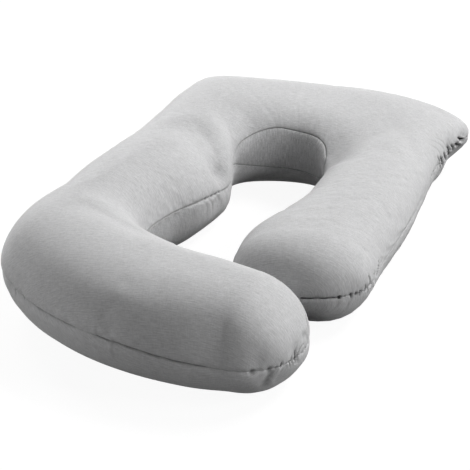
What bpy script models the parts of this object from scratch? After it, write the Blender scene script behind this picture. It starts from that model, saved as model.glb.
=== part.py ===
"""Body pillow: a G-shaped, full-length pillow, filled and lying flat on its back.

A top panel and a bottom panel of knitted jersey are sewn together edge to edge and filled.
The tube starts at the foot's round tip, turns round the heel, runs up the long arm, crosses the
head bar and comes down the short arm to a second round end. A lens-shaped strip, the head
gusset, is let in round the head opening, where it keeps the wall high and steep.

Metres, +Z up. The pillow lies on z = 0 with the centre of its plan box at the origin,
its head at +Y and its long arm at -X.
"""
from collections import namedtuple

import bmesh
import bpy
import numpy as np

# ------------------------------------------------------------------ driving dimensions

# Plan and height of the tube, section by section, from the foot's tip to the short arm's end.
# outer and inner are where the section meets the outer and the inner seam; crown is its height and
# seam the height of its seams. The edges say how square its upper shoulders are (2 is an ellipse).
Section = namedtuple("Section", "name outer_x outer_y inner_x inner_y crown seam outer_edge inner_edge")
SECTIONS = (
    Section("foot_tip",    0.135, -0.664,  0.162, -0.415, 0.212, 0.083, 2.50, 2.2),
    Section("foot",        0.050, -0.673,  0.080, -0.388, 0.219, 0.092, 2.40, 2.2),
    Section("sole",       -0.060, -0.662, -0.005, -0.364, 0.221, 0.105, 2.25, 2.2),
    Section("heel_front", -0.178, -0.620, -0.065, -0.335, 0.225, 0.107, 2.20, 2.2),
    Section("heel",       -0.291, -0.548, -0.120, -0.293, 0.229, 0.106, 2.15, 2.1),
    Section("heel_back",  -0.386, -0.449, -0.158, -0.238, 0.229, 0.108, 2.10, 1.9),
    Section("calf",       -0.416, -0.325, -0.165, -0.180, 0.223, 0.111, 2.00, 1.7),
    Section("knee",       -0.392, -0.195, -0.138, -0.092, 0.222, 0.114, 2.00, 1.6),
    Section("hip",        -0.383, -0.060, -0.099, -0.017, 0.222, 0.113, 2.10, 1.6),
    Section("waist",      -0.367,  0.080, -0.081,  0.055, 0.218, 0.104, 2.15, 1.8),
    Section("neck",       -0.353,  0.220, -0.073,  0.130, 0.212, 0.090, 2.15, 2.0),
    Section("shoulder",   -0.338,  0.370, -0.086,  0.202, 0.208, 0.101, 2.15, 2.3),
    Section("corner_a",   -0.323,  0.530, -0.097,  0.258, 0.208, 0.100, 2.20, 2.4),
    Section("corner_b",   -0.284,  0.652, -0.071,  0.295, 0.209, 0.098, 2.20, 2.5),
    Section("head_left",  -0.130,  0.687, -0.024,  0.321, 0.204, 0.096, 2.15, 2.5),
    Section("head",        0.050,  0.694,  0.024,  0.330, 0.200, 0.094, 2.15, 2.5),
    Section("head_right",  0.220,  0.694,  0.068,  0.319, 0.195, 0.092, 2.15, 2.5),
    Section("corner_c",    0.350,  0.678,  0.103,  0.287, 0.181, 0.090, 1.95, 2.4),
    Section("corner_d",    0.414,  0.608,  0.122,  0.242, 0.167, 0.090, 1.85, 2.3),
    Section("arm_top",     0.370,  0.430,  0.127,  0.174, 0.172, 0.088, 2.00, 2.2),
    Section("arm_upper",   0.363,  0.230,  0.122,  0.100, 0.172, 0.088, 2.15, 2.2),
    Section("arm_middle",  0.360,  0.080,  0.112,  0.015, 0.175, 0.087, 2.15, 2.2),
    Section("arm_lower",   0.348, -0.050,  0.082, -0.083, 0.179, 0.086, 2.15, 2.2),
    Section("arm_bulge",   0.339, -0.150,  0.046, -0.184, 0.183, 0.086, 2.15, 2.2),
    Section("arm_end",     0.337, -0.225,  0.046, -0.270, 0.185, 0.086, 2.15, 2.2),
)
FOOT_END_LENGTH = 0.118      # how far the foot's round end reaches past its last section
ARM_END_LENGTH = 0.111       # the same for the short arm

# How square the two lower quarters of a section are.
OUTER_BOTTOM = 2.35
INNER_BOTTOM = 3.10
END_ROUNDNESS = 2.3          # the plan of the two round ends
FOOT_FALL = (1.45, 2.2)      # how the crown comes down over the foot's end: start, finish
ARM_FALL = (2.3, 2.3)        # the same for the short arm
PRESSED_FLAT = 0.004         # how much of the belly the floor presses flat
FLOOR_CONTACT = 0.002        # no dent reaches lower than this

# The seams: the cloth is drawn in over a hand's breadth and dips into a narrow groove.
SEAM_HALF_WIDTH = 0.004
SEAM_DEPTH = 0.003
DRAWN_IN = 0.002
DRAW_REACH = 0.012

# The head gusset, a lens between its upper and its lower seam.
GUSSET_START = 11.5          # where it starts and ends, counted in sections
GUSSET_END = 17.8
GUSSET_RISE = 0.067          # upper seam above the plain inner seam, at the widest
GUSSET_DROP = 0.030          # lower seam below it
GUSSET_BLUNT = 2.35          # over 1 the second half stays wide for longer, then closes quickly
GUSSET_THICKNESS = 0.0027
CLEARANCE = 0.0003           # between the gusset and the filled body
RECESS_MARGIN = 0.0015       # from the panel's edge in to the recess for the gusset
STRIP_MARGIN = 0.0022        # from the panel's edge in to the gusset's own edge

CREASE_START = 0.098         # height at which a bend crease begins to show on the wall
CREASE_FULL = 0.138          # and above which it has its whole depth
CREASE_RUN_OUT = 0.45        # share of its length, from the middle, at which it runs out

# Bend creases on the top panel: soft troughs from a to b, bowed sideways in the middle.
# left and right, seen from a to b, say how far each flank reaches; a negative depth is a ridge.
Crease = namedtuple("Crease", "name ax ay bx by bow depth left_width right_width")
CREASES = (
    Crease("heel bend",       -0.280, -0.318, -0.080, -0.422, 0.014,  0.007, 0.026, 0.050),
    Crease("neck hollow",     -0.200,  0.232, -0.070,  0.086, 0.000,  0.017, 0.036, 0.070),
    Crease("neck rim",        -0.112,  0.340, -0.074,  0.100, 0.000, -0.009, 0.022, 0.022),
    Crease("opening, back",   -0.010,  0.385,  0.175,  0.310, -0.022, 0.004, 0.040, 0.040),
    Crease("opening, right",   0.118,  0.345,  0.190,  0.180, -0.012, 0.009, 0.040, 0.030),
    Crease("arm fold",         0.150,  0.205,  0.300,  0.265, 0.014,  0.003, 0.040, 0.040),
    Crease("corner fold",      0.225,  0.450,  0.350,  0.215, 0.018,  0.003, 0.022, 0.022),
)

# Dents in the side walls: tucks and puckers where the cloth is eased into the seams.
# half_width runs along the wall, reach up and down it.
Dent = namedtuple("Dent", "name x y z half_width reach depth")
DENTS = (
    Dent("corner tuck",      0.402,  0.545, 0.040, 0.056, 0.042, 0.030),
    Dent("corner pleat",     0.410,  0.560, 0.100, 0.022, 0.022, 0.009),
    Dent("corner side",      0.385,  0.480, 0.105, 0.020, 0.028, 0.007),
    Dent("foot tip tuck",    0.258, -0.640, 0.035, 0.050, 0.040, 0.016),
    Dent("foot tip pleat",   0.262, -0.590, 0.100, 0.020, 0.028, 0.006),
    Dent("foot front pleat", 0.205, -0.655, 0.100, 0.018, 0.024, 0.005),
    Dent("arm end pleat",    0.315, -0.325, 0.098, 0.018, 0.026, 0.005),
    Dent("arm side pleat",   0.348, -0.250, 0.098, 0.018, 0.024, 0.004),
    Dent("heel pleat",      -0.345, -0.500, 0.100, 0.022, 0.022, 0.003),
    Dent("neck wrinkle",    -0.088,  0.060, 0.080, 0.024, 0.018, 0.004),
    Dent("neck hollow, low", -0.087, 0.106, 0.138, 0.030, 0.036, 0.021),
    Dent("heel, low",       -0.366, -0.460, 0.060, 0.070, 0.040, 0.004),
    Dent("heel, swollen",   -0.396, -0.430, 0.130, 0.050, 0.035, -0.002),
    Dent("foot tip, front",  0.170, -0.660, 0.018, 0.050, 0.025, 0.004),
    Dent("arm end, low",     0.326, -0.266, 0.046, 0.045, 0.035, 0.006),
)

# Mesh steps
RINGS_PER_SECTION = 5
END_RINGS = 9
TOP_ROWS = 18
BOTTOM_ROWS = 13
GUSSET_ROWS = 4

JERSEY = {"name": "heather_jersey", "color": (0.60, 0.60, 0.605, 1.0), "roughness": 0.92}
GUSSET_JERSEY = {"name": "gusset_jersey", "color": (0.52, 0.52, 0.525, 1.0), "roughness": 0.92}


# ------------------------------------------------------------------ the tube's sections

def smooth_rows(rows, per_gap):
    """A Catmull-Rom curve through the table's rows, with per_gap steps from row to row."""
    first = 2 * rows[0] - rows[1]
    last = 2 * rows[-1] - rows[-2]
    padded = np.vstack([first, rows, last])
    curve = []
    for before, start, end, after in zip(padded, padded[1:], padded[2:], padded[3:]):
        for step in range(per_gap):
            t = step / per_gap
            curve.append(0.5 * (2 * start + (end - before) * t
                                + (2 * before - 5 * start + 4 * end - after) * t ** 2
                                + (3 * start - before - 3 * end + after) * t ** 3))
    curve.append(rows[-1])
    return np.array(curve)


def lens(count):
    """How open the gusset is at each section, 0 at its tips to 1 in the middle."""
    place = np.arange(count) / RINGS_PER_SECTION
    from_middle = 2 * np.clip((place - GUSSET_START) / (GUSSET_END - GUSSET_START), 0.0, 1.0) - 1
    from_middle = np.where(from_middle > 0, np.abs(from_middle) ** GUSSET_BLUNT, from_middle)
    return np.round(np.cos(np.pi / 2 * from_middle), 6)


class Tube:
    """The smoothed sections as arrays, one entry for each ring."""

    def __init__(self):
        table = np.array([row[1:] for row in SECTIONS], dtype=float)
        rings = smooth_rows(table, RINGS_PER_SECTION)
        self.count = len(rings)
        self.outer = rings[:, 0:2]
        self.inner = rings[:, 2:4]
        self.crown = rings[:, 4]
        self.seam = rings[:, 5]
        self.outer_edge = rings[:, 6]
        self.inner_edge = rings[:, 7]
        self.open = lens(self.count)
        self.upper = self.seam + SEAM_HALF_WIDTH + (GUSSET_RISE - SEAM_HALF_WIDTH) * self.open
        self.lower = self.seam - SEAM_HALF_WIDTH - (GUSSET_DROP - SEAM_HALF_WIDTH) * self.open

    def squareness(self, ring, inner_side, above):
        if above:
            return self.inner_edge[ring] if inner_side else self.outer_edge[ring]
        return INNER_BOTTOM if inner_side else OUTER_BOTTOM

    def half_height(self, ring, above):
        seam = self.seam[ring]
        return self.crown[ring] - seam if above else seam + PRESSED_FLAT

    def angle_at(self, ring, inner_side, height):
        """The angle, 0 at the seam to 90 degrees, at which a side wall passes a height."""
        above = height >= self.seam[ring]
        share = abs(height - self.seam[ring]) / self.half_height(ring, above)
        return np.arcsin(share ** (self.squareness(ring, inner_side, above) / 2))

    def point(self, ring, inner_side, above, angle, sunk=0.0):
        """A point of a section: angle counts from the seam; sunk goes in from the wall."""
        power = 2 / self.squareness(ring, inner_side, above)
        across = np.cos(angle) ** power
        rise = np.sin(angle) ** power * self.half_height(ring, above)
        height = self.seam[ring] + (rise if above else -rise)
        if inner_side:
            seams = (self.upper[ring], self.lower[ring])
            way = 0.5 * (self.inner[ring] - self.outer[ring])
        else:
            seams = (self.seam[ring],)
            way = 0.5 * (self.outer[ring] - self.inner[ring])
        nearest = min(abs(height - seam) for seam in seams)
        drawn = DRAWN_IN * np.exp(-(nearest / DRAW_REACH) ** 2)
        half_width = np.linalg.norm(way)
        middle = 0.5 * (self.outer[ring] + self.inner[ring])
        place = middle + way / half_width * (across * half_width - drawn * across - sunk)
        return np.array([place[0], place[1], max(height, 0.0)])

    def wall(self, ring, height, sunk=0.0):
        """The inner wall at a height."""
        above = height >= self.seam[ring]
        return self.point(ring, True, above, self.angle_at(ring, True, height), sunk)


def ring_points(tube, ring):
    """One closed section, from the outer seam over the top to the inner seam and back below."""
    outer_edge = SEAM_HALF_WIDTH
    quarter = np.pi / 2
    seam = tube.seam[ring]
    upper, lower = tube.upper[ring], tube.lower[ring]
    points = [tube.point(ring, False, True, 0.0, SEAM_DEPTH)]

    start = tube.angle_at(ring, False, seam + outer_edge)
    end = 2 * quarter - tube.angle_at(ring, True, upper)
    for angle in np.linspace(start, end, TOP_ROWS):
        inner_side = angle > quarter
        points.append(tube.point(ring, inner_side, True, min(angle, 2 * quarter - angle)))

    sunk = GUSSET_THICKNESS + CLEARANCE
    for height in np.linspace(upper - RECESS_MARGIN, lower + RECESS_MARGIN, GUSSET_ROWS):
        points.append(tube.wall(ring, height, sunk))

    start = tube.angle_at(ring, True, lower)
    end = 2 * quarter - tube.angle_at(ring, False, seam - outer_edge)
    for angle in np.linspace(start, end, BOTTOM_ROWS):
        inner_side = angle < quarter
        points.append(tube.point(ring, inner_side, False, min(angle, 2 * quarter - angle)))
    return np.array(points)


def round_end(tube, ring, next_ring, length, crown_fall):
    """The sections past the last one, shrinking to a tip, nearest the tube first."""
    section = ring_points(tube, ring)
    middle = 0.5 * (tube.outer[ring] + tube.inner[ring])
    centre = np.array([middle[0], middle[1], tube.seam[ring]])
    across = tube.outer[ring] - tube.inner[ring]
    away = np.array([-across[1], across[0]]) / np.linalg.norm(across)
    next_middle = 0.5 * (tube.outer[next_ring] + tube.inner[next_ring])
    if np.dot(away, middle - next_middle) < 0:
        away = -away
    start, finish = crown_fall
    rings = []
    for turn in np.linspace(0.0, np.pi / 2, END_RINGS + 2)[1:]:
        size = max(np.cos(turn), 0.0) ** (2 / END_ROUNDNESS)
        share = np.sin(turn) ** (2 / END_ROUNDNESS)
        fall = max(1.0 - share ** start, 0.0) ** (1 / finish)
        shrunk = centre + (section - centre) * size
        shrunk[:, :2] += away * length * share
        lift = section[:, 2] - tube.seam[ring]
        shrunk[:, 2] = tube.seam[ring] + lift * np.where(lift > 0.0, fall, size)
        rings.append(shrunk)
    return rings[:-1], rings[-1][0]


# ------------------------------------------------------------------ folds

def crease_depth(crease, places):
    """How deep a bend crease is at each plan place."""
    start = np.array([crease.ax, crease.ay])
    along = np.array([crease.bx, crease.by]) - start
    length = np.linalg.norm(along)
    along /= length
    side = np.array([-along[1], along[0]])
    offset = places - start
    share = offset @ along / length
    bow = crease.bow * 4 * share * (1 - share)
    sideways = offset @ side - bow
    reach = np.where(sideways > 0, crease.left_width, crease.right_width)
    fade = np.exp(-((share - 0.5) / CREASE_RUN_OUT) ** 4)
    return crease.depth * np.exp(-(sideways / reach) ** 2) * fade


def dent_depth(dent, points):
    """How deep a dent is at each point of the side walls."""
    apart = np.hypot(points[:, 0] - dent.x, points[:, 1] - dent.y) / dent.half_width
    off_centre = (points[:, 2] - dent.z) / dent.reach
    return dent.depth * np.exp(-apart ** 2 - off_centre ** 2)


def sink_creases(shape):
    """Lets the top panel down into its bend creases; the side walls keep their height."""
    places = np.array([vert.co for vert in shape.verts])
    share = np.clip((places[:, 2] - CREASE_START) / (CREASE_FULL - CREASE_START), 0.0, 1.0)
    drop = np.zeros(len(places))
    for crease in CREASES:
        drop += crease_depth(crease, places[:, :2]) * share
    for vert, depth in zip(shape.verts, drop):
        vert.co.z -= depth


def press_dents(shape):
    """Presses the dents into the side walls, along the closed mesh's normals."""
    shape.normal_update()
    places = np.array([vert.co for vert in shape.verts])
    depth = np.zeros(len(places))
    for dent in DENTS:
        depth += dent_depth(dent, places)
    for vert, push in zip(shape.verts, depth):
        if vert.co.z > FLOOR_CONTACT:
            vert.co -= vert.normal * push


# ------------------------------------------------------------------ objects

def jersey(finish):
    material = bpy.data.materials.new(finish["name"])
    material.use_nodes = True
    shader = material.node_tree.nodes["Principled BSDF"]
    shader.inputs["Base Color"].default_value = finish["color"]
    shader.inputs["Roughness"].default_value = finish["roughness"]
    shader.inputs["Metallic"].default_value = 0.0
    return material


def add_object(name, shape, finish, collection):
    mesh = bpy.data.meshes.new(name)
    shape.to_mesh(mesh)
    shape.free()
    mesh.shade_smooth()
    mesh.materials.append(jersey(finish))
    thing = bpy.data.objects.new(name, mesh)
    collection.objects.link(thing)
    return thing


def build_pillow(tube, collection):
    """The filled body: a ball's rings are laid out along the tube, one on each section."""
    foot, foot_tip = round_end(tube, 0, 1, FOOT_END_LENGTH, FOOT_FALL)
    arm, arm_tip = round_end(tube, tube.count - 1, tube.count - 2, ARM_END_LENGTH, ARM_FALL)
    body = [ring_points(tube, ring) for ring in range(tube.count)]
    rings = foot[::-1] + body + arm
    steps = len(rings[0])

    shape = bmesh.new()
    bmesh.ops.create_uvsphere(shape, u_segments=steps, v_segments=len(rings) + 1, radius=1.0)
    for vert in shape.verts:
        latitude = np.arccos(np.clip(vert.co.z, -1.0, 1.0)) / np.pi * (len(rings) + 1)
        ring = int(round(latitude))
        if ring == 0:
            vert.co = foot_tip
        elif ring == len(rings) + 1:
            vert.co = arm_tip
        else:
            longitude = -np.arctan2(vert.co.y, vert.co.x) / (2 * np.pi) * steps
            vert.co = rings[ring - 1][int(round(longitude)) % steps]
    press_dents(shape)
    sink_creases(shape)
    return add_object("pillow", shape, JERSEY, collection)


def build_gusset(tube, collection):
    """The sewn-in strip: a sheet laid in the recess of the wall, thickened towards the opening."""
    rings = [ring for ring in range(tube.count) if tube.open[ring] > 0.0]
    last = len(rings) - 1
    shape = bmesh.new()
    bmesh.ops.create_grid(shape, x_segments=last, y_segments=GUSSET_ROWS - 1, size=1.0)
    for vert in shape.verts:
        ring = rings[int(round((vert.co.x + 1) / 2 * last))]
        share = (vert.co.y + 1) / 2
        top = tube.upper[ring] - STRIP_MARGIN
        bottom = tube.lower[ring] + STRIP_MARGIN
        vert.co = tube.wall(ring, bottom + (top - bottom) * share, GUSSET_THICKNESS)
    sink_creases(shape)
    strip = add_object("head_gusset", shape, GUSSET_JERSEY, collection)
    thick = strip.modifiers.new("cloth", "SOLIDIFY")
    thick.thickness = GUSSET_THICKNESS
    thick.offset = 1.0
    return strip


def centre_on_origin(things, pillow):
    """Moves the meshes so that the pillow's plan box is centred on the origin."""
    corners = np.array([vert.co for vert in pillow.data.vertices])
    shift = -0.5 * (corners.min(axis=0) + corners.max(axis=0))
    for thing in things:
        for vert in thing.data.vertices:
            vert.co.x += shift[0]
            vert.co.y += shift[1]
    return shift


def main():
    for thing in list(bpy.data.objects):
        bpy.data.objects.remove(thing, do_unlink=True)
    collection = bpy.data.collections.new("body_pillow")
    bpy.context.scene.collection.children.link(collection)
    tube = Tube()
    pillow = build_pillow(tube, collection)
    gusset = build_gusset(tube, collection)
    shift = centre_on_origin([pillow, gusset], pillow)
    print("pillow box (m):", [round(side, 3) for side in pillow.dimensions],
          "moved by", [round(float(step), 4) for step in shift[:2]])


main()
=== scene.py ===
# %% [markdown]
# # A full-length body pillow
#
# The real pillow is a long stuffed tube of knitted jersey, laid out like a letter G: a head bar,
# a long arm for the back, a foot that bends round under the knees and a shorter front arm.
# A maker cuts a top panel and a bottom panel to the same outline, lets a lens-shaped gusset in
# round the head opening, sews them edge to edge and fills them. This lesson remakes that cover
# finely enough to show its seams, gathers and folds, and gives it its heather-grey knit.

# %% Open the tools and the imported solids
import math
from collections import namedtuple

import bpy
import numpy as np
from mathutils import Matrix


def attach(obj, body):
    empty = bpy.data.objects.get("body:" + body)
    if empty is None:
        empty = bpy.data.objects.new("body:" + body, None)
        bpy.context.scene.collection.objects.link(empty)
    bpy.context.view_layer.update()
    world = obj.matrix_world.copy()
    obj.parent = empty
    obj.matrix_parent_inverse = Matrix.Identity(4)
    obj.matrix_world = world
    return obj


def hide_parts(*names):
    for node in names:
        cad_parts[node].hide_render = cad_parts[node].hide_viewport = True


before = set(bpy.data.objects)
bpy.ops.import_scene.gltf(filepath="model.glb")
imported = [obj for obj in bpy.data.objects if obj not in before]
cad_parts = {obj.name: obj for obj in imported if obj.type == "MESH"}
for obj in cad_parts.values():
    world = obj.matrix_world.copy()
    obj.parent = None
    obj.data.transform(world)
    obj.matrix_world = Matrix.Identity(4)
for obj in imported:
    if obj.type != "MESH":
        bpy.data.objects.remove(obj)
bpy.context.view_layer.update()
bpy.ops.object.select_all(action="DESELECT")

# %% [markdown]
# ## The plan of the tube
#
# A stuffed tube is easiest to describe by its cross sections. Each row of the table is one
# section: where it meets the outer and the inner seam in plan, how high its crown and its seams
# are, and how square its two upper shoulders are, where 2 is an ellipse. The wall beside the head
# opening stands a little steeper than on the solid.

# %% The table of sections
def table(columns, *rows):
    """A table whose rows can be asked for a column by its name."""
    row_of = namedtuple("Row", columns)
    return [row_of(*row) for row in rows]


SECTIONS = table(
    "name outer_x outer_y inner_x inner_y crown seam outer_edge inner_edge",
    ("foot_tip",    0.135, -0.664,  0.162, -0.415, 0.212, 0.083, 2.50, 2.2),
    ("foot",        0.050, -0.673,  0.080, -0.388, 0.219, 0.092, 2.40, 2.2),
    ("sole",       -0.060, -0.662, -0.005, -0.364, 0.221, 0.105, 2.25, 2.2),
    ("heel_front", -0.178, -0.620, -0.065, -0.335, 0.225, 0.107, 2.20, 2.2),
    ("heel",       -0.291, -0.548, -0.120, -0.293, 0.229, 0.106, 2.15, 2.1),
    ("heel_back",  -0.386, -0.449, -0.158, -0.238, 0.229, 0.108, 2.10, 1.9),
    ("calf",       -0.416, -0.325, -0.165, -0.180, 0.223, 0.111, 2.00, 1.7),
    ("knee",       -0.392, -0.195, -0.138, -0.092, 0.222, 0.114, 2.00, 1.6),
    ("hip",        -0.383, -0.060, -0.099, -0.017, 0.222, 0.113, 2.10, 1.6),
    ("waist",      -0.367,  0.080, -0.081,  0.055, 0.218, 0.104, 2.15, 1.8),
    ("neck",       -0.353,  0.220, -0.073,  0.130, 0.212, 0.090, 2.15, 2.0),
    ("shoulder",   -0.338,  0.370, -0.086,  0.202, 0.208, 0.101, 2.15, 2.3),
    ("corner_a",   -0.323,  0.530, -0.097,  0.258, 0.208, 0.100, 2.20, 2.4),
    ("corner_b",   -0.284,  0.652, -0.071,  0.295, 0.209, 0.098, 2.20, 2.5),
    ("head_left",  -0.130,  0.687, -0.024,  0.321, 0.204, 0.096, 2.15, 2.9),
    ("head",        0.050,  0.694,  0.024,  0.330, 0.200, 0.094, 2.15, 3.5),
    ("head_right",  0.220,  0.694,  0.068,  0.319, 0.195, 0.092, 2.15, 3.7),
    ("corner_c",    0.350,  0.678,  0.103,  0.287, 0.181, 0.090, 1.95, 3.0),
    ("corner_d",    0.414,  0.608,  0.122,  0.242, 0.167, 0.090, 1.85, 2.3),
    ("arm_top",     0.370,  0.430,  0.127,  0.174, 0.172, 0.088, 2.00, 2.2),
    ("arm_upper",   0.363,  0.230,  0.122,  0.100, 0.172, 0.088, 2.15, 2.2),
    ("arm_middle",  0.360,  0.080,  0.112,  0.015, 0.175, 0.087, 2.15, 2.2),
    ("arm_lower",   0.348, -0.050,  0.082, -0.083, 0.179, 0.086, 2.15, 2.2),
    ("arm_bulge",   0.339, -0.150,  0.046, -0.184, 0.183, 0.086, 2.15, 2.2),
    ("arm_end",     0.337, -0.225,  0.046, -0.270, 0.185, 0.086, 2.15, 2.2),
)
TABLE = np.array([section[1:] for section in SECTIONS])
LAST_SECTION = len(SECTIONS) - 1
FOOT_END_LENGTH, ARM_END_LENGTH = 0.118, 0.111
END_ROUNDNESS, FOOT_FALL, ARM_FALL = 2.3, (1.45, 2.2), (2.3, 2.3)
OUTER_BOTTOM, INNER_BOTTOM = 2.35, 3.10
PRESSED_FLAT = 0.004
PLAN_SHIFT = np.array([0.0018, -0.0113, 0.0])
GUSSET_START, GUSSET_END = 11.5, 17.8
GUSSET_RISE, GUSSET_DROP = 0.070, 0.030
GUSSET_BLUNT = 2.9


def read_along(rows, places):
    """The columns at any place between the rows, joined by a Catmull-Rom curve."""
    padded = np.vstack([2 * rows[0] - rows[1], rows, 2 * rows[-1] - rows[-2]])
    first = np.clip(np.floor(places).astype(int), 0, len(rows) - 2)
    t = (places - first)[:, None]
    before, start, end, after = (padded[first + step] for step in range(4))
    return 0.5 * (2 * start + (end - before) * t
                  + (2 * before - 5 * start + 4 * end - after) * t ** 2
                  + (3 * start - before - 3 * end + after) * t ** 3)


def ease(low, high, value):
    """0 below low, 1 above high and a smooth step between."""
    share = np.clip((value - low) / (high - low), 0.0, 1.0)
    return share * share * (3 - 2 * share)


# %% [markdown]
# ## Where the rings go
#
# A knit cover bends softly, so rings every few millimetres carry its shape. They stand closer
# at the two round ends and at the pinched corner, where the cloth is gathered.

# %% Space the rings along the outer seam
RING_STEP, GATHERED_STEP = 0.0052, 0.0032
GATHERED = ((0.0, 0.9), (16.8, 19.4), (23.0, 24.0))
MEASURED_PLACES = 2401

dense = np.linspace(0, LAST_SECTION, MEASURED_PLACES)
outline = read_along(TABLE[:, :2], dense)
gathered = sum((dense >= low) & (dense <= high) for low, high in GATHERED) > 0
travel = np.linalg.norm(np.diff(outline, axis=0), axis=1)
ring_step = np.where(gathered, GATHERED_STEP, RING_STEP)[1:]
rings_so_far = np.concatenate([[0], np.cumsum(travel / ring_step)])
ring_count = int(rings_so_far[-1])
places = np.interp(np.linspace(0, rings_so_far[-1], ring_count), rings_so_far, dense)
ring = read_along(TABLE, places)
outer, inner = ring[:, 0:2], ring[:, 2:4]
crown, seam, outer_edge, inner_edge = (ring[:, [column]] for column in range(4, 8))
from_middle = 2 * np.clip((places - GUSSET_START) / (GUSSET_END - GUSSET_START), 0, 1) - 1
from_middle = np.where(from_middle > 0, np.abs(from_middle) ** GUSSET_BLUNT, from_middle)
lens = np.round(np.cos(np.pi / 2 * from_middle), 6)[:, None]
print("rings along the tube:", ring_count)

# %% [markdown]
# ## The rows of one ring
#
# A ring runs from the outer seam over the crown to the inner seam and back along the belly.
# Its rows stand about a millimetre apart beside the seams, so that a seam can be drawn in
# sharply, and up to 8 mm apart on the smooth crown. The hidden belly makes do with a third of them.

# %% Lay the rows on every ring
SEAM_HALF_WIDTH = 0.0012
BESIDE_SEAM = np.array([0, 1.2, 2.4, 3.8, 5.4, 7.4, 10, 13.5, 18, 24]) / 1000
CROWN_ROWS, BELLY_ROWS, RECESS_ROWS = 42, 14, 3

upper = seam + SEAM_HALF_WIDTH + (GUSSET_RISE - SEAM_HALF_WIDTH) * lens
lower = seam - SEAM_HALF_WIDTH - (GUSSET_DROP - SEAM_HALF_WIDTH) * lens
top_half, bottom_half = crown - seam, seam + PRESSED_FLAT


def angle_at(rise, half, edge):
    """The angle, 0 at the seam and 90 degrees at the crown, at which a wall passes a height."""
    return np.arcsin(np.clip(rise / half, 0, 1) ** (edge / 2))


def half_ring(near_angles, far_angles, middle_rows):
    """Angles from one seam over the middle to the other, dense at both ends."""
    share = np.linspace(0, 1, middle_rows + 2)[1:-1]
    near, far = near_angles[:, [-1]], math.pi - far_angles[:, [-1]]
    return np.hstack([near_angles, near + (far - near) * share, (math.pi - far_angles)[:, ::-1]])


def panel_points(angles, half, near_edge, far_edge, near, far, sign):
    """Turns angles into points: near is the plan point where angle 0 lies, far where 180 does."""
    turned = angles > math.pi / 2
    edge = np.where(turned, far_edge, near_edge)
    folded = np.where(turned, math.pi - angles, angles)
    across = np.cos(folded) ** (2 / edge) * np.where(turned, -1, 1)
    height = seam + sign * half * np.sin(folded) ** (2 / edge)
    middle, way = (near + far) / 2, (near - far) / 2
    plan = middle[:, None] + way[:, None] * across[:, :, None]
    return np.dstack([plan, np.maximum(height, 0)])


def recess_points(share):
    """Rows on the inner wall between the two edges of the panels."""
    height = upper + (lower - upper) * share
    above = height >= seam
    half = np.where(above, top_half, bottom_half)
    edge = np.where(above, inner_edge, INNER_BOTTOM)
    across = np.cos(angle_at(np.abs(height - seam), half, edge)) ** (2 / edge)
    middle, way = (outer + inner) / 2, (inner - outer) / 2
    return np.dstack([middle[:, None] + way[:, None] * across[:, :, None], height])


top_angles = half_ring(angle_at(BESIDE_SEAM[None], top_half, outer_edge),
                       angle_at(upper - seam + BESIDE_SEAM, top_half, inner_edge), CROWN_ROWS)
bottom_angles = half_ring(angle_at(seam - lower + BESIDE_SEAM, bottom_half, INNER_BOTTOM),
                          angle_at(BESIDE_SEAM[None], bottom_half, OUTER_BOTTOM), BELLY_ROWS)
top = panel_points(top_angles, top_half, outer_edge, inner_edge, outer, inner, 1)
bottom = panel_points(bottom_angles, bottom_half, INNER_BOTTOM, OUTER_BOTTOM, inner, outer, -1)
recess = recess_points(np.linspace(0, 1, RECESS_ROWS + 2)[1:-1][None])
body = np.concatenate([top, recess, bottom[:, :-1]], axis=1)
TOP_ROWS, ROWS = top.shape[1], body.shape[1]
BOTTOM_START = TOP_ROWS + RECESS_ROWS
print("rows on a ring:", ROWS, "of which on the top panel:", TOP_ROWS)

# %% [markdown]
# ## The round ends
#
# Past the first and the last section the ring shrinks to a point, as the cover does where the
# outer seam runs round into the inner one. The foot's crown comes down sooner than its width
# closes. The table's plan is then shifted by a centimetre, which puts the middle of the pillow's
# box on the origin, as on the solids.

# %% Shrink the end rings to a tip
END_TURNS = 72


def round_end(last, before, length, crown_fall):
    """Rings past the body's last one, nearest first, and the tip; crown_fall shapes the way down."""
    section, height = body[last], seam[last, 0]
    middle = (outer[last] + inner[last]) / 2
    across = outer[last] - inner[last]
    away = np.array([-across[1], across[0]]) / np.linalg.norm(across)
    away *= np.sign(away @ (middle - (outer[before] + inner[before]) / 2))
    centre = np.array([*middle, height])
    turn = np.linspace(0, math.pi / 2, END_TURNS + 2)[1:-1]
    size = np.cos(turn) ** (2 / END_ROUNDNESS)
    share = np.sin(turn) ** (2 / END_ROUNDNESS)
    fall = (1 - share ** crown_fall[0]) ** (1 / crown_fall[1])
    rings = centre + (section - centre) * size[:, None, None]
    rings[:, :, :2] += away * (length * share)[:, None, None]
    lift = section[:, 2] - height
    rings[:, :, 2] = height + lift * np.where(lift > 0, fall[:, None], size[:, None])
    return rings, centre + np.array([*(away * length), 0]), away


foot_rings, foot_tip, foot_away = round_end(0, 1, FOOT_END_LENGTH, FOOT_FALL)
arm_rings, arm_tip, arm_away = round_end(-1, -2, ARM_END_LENGTH, ARM_FALL)
cover = np.concatenate([foot_rings[::-1], body, arm_rings])
for part in (cover, foot_tip, arm_tip):
    part += PLAN_SHIFT
FIRST_OF_BODY, RINGS = END_TURNS, len(cover)
print("rings in all:", RINGS)

# %% [markdown]
# ## The flat pattern
#
# Jersey is cut with its courses sideways across the whole panel. To make the fleck follow the
# cloth, each panel is rolled out flat: every ring is laid straight out from its crown, at its
# true length, and the result is the panel's UV map in metres.

# %% Roll the panels out flat
BOTTOM_PATTERN_APART = 2.0


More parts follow.
